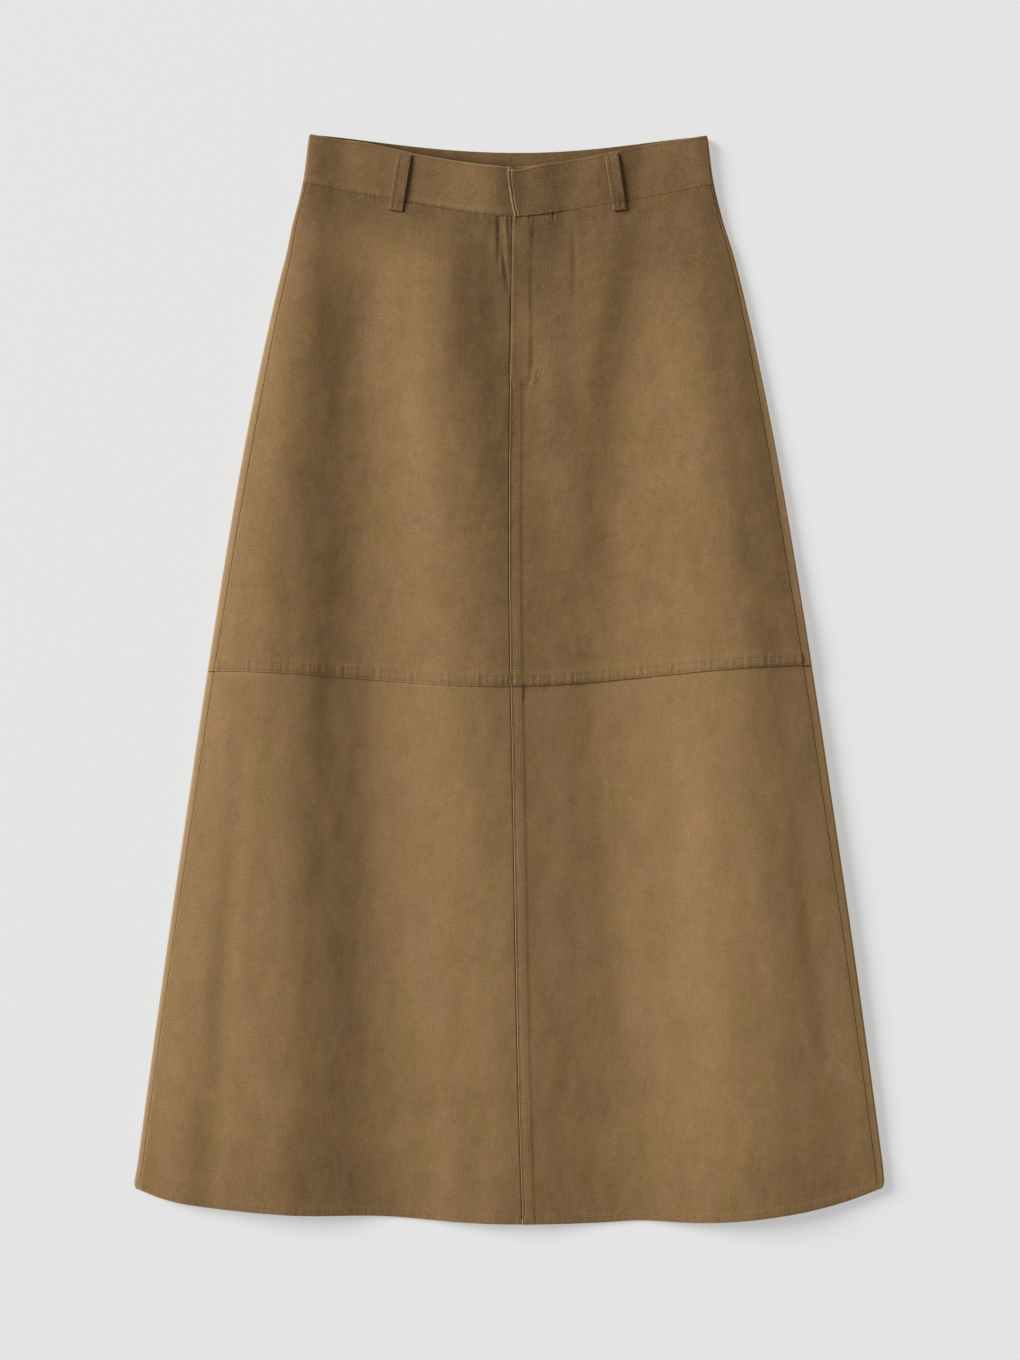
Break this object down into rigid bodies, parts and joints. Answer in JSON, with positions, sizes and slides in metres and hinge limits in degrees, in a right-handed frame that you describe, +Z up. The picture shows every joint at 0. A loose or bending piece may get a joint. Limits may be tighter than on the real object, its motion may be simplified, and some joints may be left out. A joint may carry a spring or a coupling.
{
  "type": "a-line skirt",
  "caption": "Long A-line skirt of brushed cloth with a knee seam, front fly, waistband and belt loops, laid flat on its back with soft folds.",
  "frame": {"origin": "centre of the footprint, on the surface that the skirt lies on", "axes": "+Z up out of the front, +Y along the skirt from hem to waist, +X to the viewer's right"},
  "size_m": [0.6604, 0.958, 0.0231],
  "materials": {
    "cloth": "brown brushed cotton with a short nap, matte"
  },
  "bodies": {
    "root": {"front_upper_left": "cloth", "front_upper_right": "cloth", "front_lower_left": "cloth", "front_lower_right": "cloth", "back_upper": "cloth", "back_lower": "cloth", "waistband": "cloth", "belt_loop_left": "cloth", "belt_loop_right": "cloth"}
  },
  "joints": []
}
